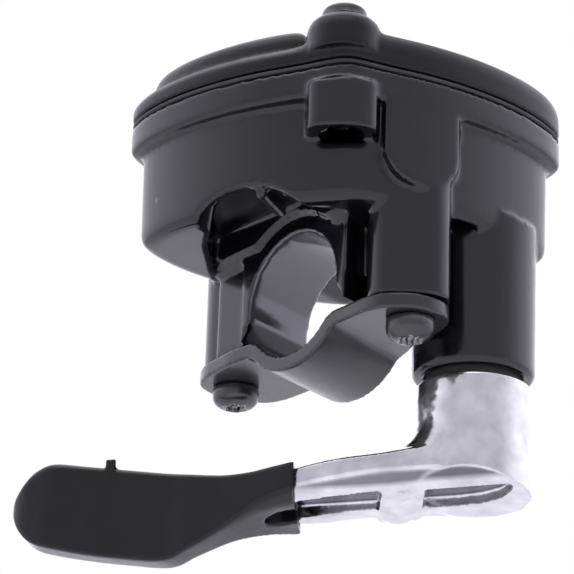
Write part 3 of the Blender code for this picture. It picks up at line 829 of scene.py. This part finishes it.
def makeLever():
    s = leverSizes
    place = shaftPlace @ Matrix.Rotation(s["turn"], 4, "Z")
    r = s["hub"]
    hub = turned("hub", [(r - 0.4, s["top"]), (r, s["top"] - 0.4), (r, s["foot"])], shaftPlace)
    # the hub's underside is cut to the same bevel and slope as the arm's
    hub = combine(hub, [skin("under", [
        [(x, y, z) for y, z in ((14.0, -30.1), (4.6, -33.8), (-14.0, -35.1), (-14.0, -50.0), (14.0, -50.0))]
        for x in (-20, 20)
    ], place)], "DIFFERENCE")
    shaft = turned("shaft", [(3.0, s["top"] - 3), (3.0, 32.2), (2.6, 32.6)], shaftPlace, 48)
    arm = skin("arm", [barRing(*row) for row in eased([row + (0.8,) for row in armStations], 4)], place)
    # the hub flares out into the arm's top
    flare = []
    for z, grow in (
        (-20, 0), (-22.5, 0.05), (-24, 0.6), (-25, 1.6), (-25.9, 3.0),
        (-26.7, 4.9), (-27.4, 7.4), (-28.0, 11.0), (-29.5, 14.0),
    ):
        ring = []
        for i in range(96):
            t = 2 * math.pi * i / 96
            lead = max(0.0, math.cos(t))
            reach = r - 0.02 + grow if lead else r - 0.02
            ring.append((reach * math.cos(t), (r - 0.02 - 0.04 * grow * lead) * math.sin(t), z))
        flare.append(ring)
    lever = combine(hub, [shaft, arm, skin("flare", flare, place)], "UNION")
    channel = slab("channel", roundedPath(channelPlan, 1.2), -60, -32.0, place)
    lever = combine(lever, [channel], "DIFFERENCE")
    # a short barrel across the channel
    boss = []
    for y, drop in ((4.9, 0.0), (4.6, 0.0), (-8.6, 0.9), (-8.9, 0.9)):
        boss.append([(x - s["barrelLean"] * (y + 2.0), y, z - drop) for x, z in (
            (9.1, -30.0), (9.1, -33.7), (9.9, -34.0), (11.0, -33.9), (11.5, -34.3), (13.0, -34.6), (14.5, -34.3),
            (15.0, -33.9), (16.1, -34.0), (16.9, -33.7), (16.9, -30.0),
        )])
    lever = combine(lever, [skin("boss", boss, place)], "UNION")
    return soften(lever, s["voxel"], s["ease"])


putAway(makeLever(), "castLever", finishes["polished"], "lever", "lever_polished", "lever")

gripStations = [   # reach, near, far, top, near low, far low, bevel, drop, ease, slant
    (29.0, 8.8, -9.2, -28.3, -33.5, -36.1, 3.4, 1.5, 0.8, 0.24),
    (31.0, 8.6, -9.0, -28.5, -33.8, -36.2, 3.2, 1.4, 0.9, 0.2),
    (34.0, 8.1, -7.8, -28.8, -34.5, -36.5, 2.6, 1.1, 1.0, 0.1),
    (37.5, 7.6, -4.8, -29.2, -36.0, -37.4, 1.8, 0.6, 1.0, 0.04),
    (42.4, 7.0, -1.0, -29.2, -38.9, -39.3, 1.2, 0.2, 1.1, 0.0),
    (48.5, 6.3, 0.1, -28.4, -41.8, -41.9, 1.0, 0.1, 1.2, 0.0),
    (53.4, 5.8, -0.3, -27.7, -43.5, -43.6, 1.0, 0.1, 1.3, 0.0),
    (62.0, 5.5, -0.5, -26.3, -42.5, -42.6, 1.0, 0.1, 1.4, 0.0),
    (69.0, 5.5, -0.5, -25.2, -41.3, -41.5, 1.0, 0.1, 1.5, 0.0),
    (75.0, 5.5, -0.6, -24.3, -39.9, -40.3, 1.0, 0.1, 1.8, 0.0),
    (78.5, 5.1, -0.4, -25.2, -38.7, -39.4, 1.0, 0.1, 2.0, 0.0),
    (80.8, 4.7, 0.2, -27.3, -36.8, -37.6, 1.0, 0.1, 1.8, 0.0),
    (82.3, 4.0, 0.9, -29.4, -34.6, -35.0, 0.8, 0.1, 1.6, 0.0),
    (83.0, 3.2, 1.8, -31.0, -32.9, -33.1, 0.4, 0.05, 0.8, 0.0),
]


def makeGrip():
    place = shaftPlace @ Matrix.Rotation(leverSizes["turn"], 4, "Z")
    grip = skin("grip", [barRing(*row) for row in eased(gripStations, 5)], place)
    inner = skin("gripInside", [barRing(*row) for row in tangRoom], place)
    # the dip follows the arm's channel until it runs out
    hollowPlan = [(20, 3.4), (34, 2.9), (36.4, 1.6), (36.8, -0.6), (34.6, -3.0), (20, -3.6)]
    hollow = slab("gripChannel", roundedPath(hollowPlan, 1.6), -60, -33.0, place)
    inner = combine(inner, [slab("tangChannel", roundedPath(channelPlan, 1.2), -60, -32.3, place)], "DIFFERENCE")
    nibPlan = [(64.0 + x, 5.0 + y) for x, y in ((-0.9, -0.5), (0.9, -0.5), (0.9, 0.5), (-0.9, 0.5))]
    nib = slab("nib", nibPlan, -27.0, -24.6, place)
    grip = combine(grip, [nib], "UNION")
    grip = combine(grip, [hollow, inner], "DIFFERENCE")
    return soften(grip, 0.3, 3)


putAway(makeGrip(), "dippedGrip", finishes["vinyl"], "lever", "grip_vinyl", "lever_grip")

# the frame's own pieces that stay, each with its finish
carried = {
    "dust_seal": "sealRubber", "shaft_ring": "sealRubber", "cable_arm": "zincPlate", "lock_washer": "zincPlate",
    "shaft_nut": "zincPlate", "thrust_washer": "zincPlate", "return_spring": "springWire",
    "bush_lower": "bronze", "bush_upper": "bronze", "cable_inlet": "zincPlate",
    "stop_screw": "zincPlate", "stop_nut": "zincPlate",
}
for name, finish in carried.items():
    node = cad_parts[name]
    for slotOfNode in node.material_slots:
        slotOfNode.material = finishes[finish]
print("carried nodes painted")

studio = {
    "azimuth": 38.0, "elevation": -22.0, "roll": 2.0, "distance": 0.429, "lens": 156.8,
    "aim": (0.0, -8.5, 0.0), "slide": (-0.8, 1.1), "floor": -0.42,
    "sky": 1.6, "skyColour": (0.98, 0.955, 1.08),
}


def plainMaterial(name, colour):
    made = bpy.data.materials.new(name)
    made.use_nodes = True
    made.node_tree.nodes["Principled BSDF"].inputs["Base Color"].default_value = (*colour, 1)
    made.node_tree.nodes["Principled BSDF"].inputs["Roughness"].default_value = 0.9
    return made


bm = bmesh.new()
bmesh.ops.create_grid(bm, x_segments=1, y_segments=1, size=6.0)
floorMesh = bpy.data.meshes.new("floor")
bm.to_mesh(floorMesh)
bm.free()
floorMesh.transform(Matrix.Translation((0, 0, studio["floor"])))
floorMesh.materials.append(plainMaterial("paleFloor", (0.9, 0.9, 0.9)))
floor = bpy.data.objects.new("floor", floorMesh)
scene.collection.objects.link(floor)


def directionOf(azimuthDeg, elevationDeg):
    a = math.radians(azimuthDeg)
    e = math.radians(elevationDeg)
    return Vector((math.sin(a) * math.cos(e), -math.cos(a) * math.cos(e), math.sin(e)))


azimuth = math.radians(studio["azimuth"])
toCamera = directionOf(studio["azimuth"], studio["elevation"])
right = Vector((math.cos(azimuth), math.sin(azimuth), 0))
up = right.cross(-toCamera)
roll = math.radians(studio["roll"])
cameraRight = right * math.cos(roll) + up * math.sin(roll)
cameraUp = -right * math.sin(roll) + up * math.cos(roll)
aim = Vector(studio["aim"]) + cameraRight * studio["slide"][0] + cameraUp * studio["slide"][1]
spot = aim * mm + toCamera * studio["distance"]
turnTo = Matrix((cameraRight, cameraUp, toCamera)).transposed().to_4x4()
cameraData = bpy.data.cameras.new("camera")
cameraData.lens = studio["lens"]
cameraData.sensor_width = 36.0
cameraData.clip_start = 0.01
camera = bpy.data.objects.new("camera", cameraData)
camera.matrix_world = Matrix.Translation(spot) @ turnTo
scene.collection.objects.link(camera)
scene.camera = camera


def makeWorld():
    # a white studio, dimmer on the side that the camera looks from
    world = bpy.data.worlds.new("studio")
    scene.world = world
    world.use_nodes = True
    nodes = world.node_tree.nodes
    links = world.node_tree.links
    nodes.clear()
    where = nodes.new("ShaderNodeTexCoord")

    def lobe(azimuthDeg, elevationDeg, start, end, low, high):
        # a smooth patch of sky round one direction
        facing = nodes.new("ShaderNodeVectorMath")
        facing.operation = "DOT_PRODUCT"
        facing.inputs[1].default_value = directionOf(azimuthDeg, elevationDeg)
        links.new(where.outputs["Generated"], facing.inputs[0])
        fit = nodes.new("ShaderNodeMapRange")
        fit.interpolation_type = "SMOOTHSTEP"
        for label, value in (("From Min", start), ("From Max", end), ("To Min", low), ("To Max", high)):
            fit.inputs[label].default_value = value
        links.new(facing.outputs["Value"], fit.inputs["Value"])
        return fit.outputs["Result"]

    level = lobe(38, 15, -0.1, 0.8, 1.0, 0.5)
    dim = nodes.new("ShaderNodeBackground")
    dim.inputs["Color"].default_value = (*studio["skyColour"], 1)
    bright = nodes.new("ShaderNodeMath")
    bright.operation = "MULTIPLY"
    bright.inputs[1].default_value = studio["sky"]
    links.new(level, bright.inputs[0])
    links.new(bright.outputs[0], dim.inputs["Strength"])
    seen = nodes.new("ShaderNodeBackground")
    seen.inputs["Color"].default_value = (1, 1, 1, 1)
    path = nodes.new("ShaderNodeLightPath")
    mix = nodes.new("ShaderNodeMixShader")
    links.new(path.outputs["Is Camera Ray"], mix.inputs[0])
    links.new(dim.outputs[0], mix.inputs[1])
    links.new(seen.outputs[0], mix.inputs[2])
    end = nodes.new("ShaderNodeOutputWorld")
    links.new(mix.outputs[0], end.inputs["Surface"])


makeWorld()


def areaLight(name, azimuthDeg, elevationDeg, distance, size, power):
    way = directionOf(azimuthDeg, elevationDeg)
    data = bpy.data.lights.new(name, "AREA")
    data.shape = "RECTANGLE"
    data.size = size[0]
    data.size_y = size[1]
    data.energy = power
    light = bpy.data.objects.new(name, data)
    light.matrix_world = Matrix.Translation(way * distance) @ way.to_track_quat("Z", "Y").to_matrix().to_4x4()
    scene.collection.objects.link(light)


areaLight("lowStrip", 30, -52, 0.8, (0.7, 0.10), 2.6)
areaLight("softTop", 10, 78, 0.9, (0.9, 0.9), 3)
print("studio ready")
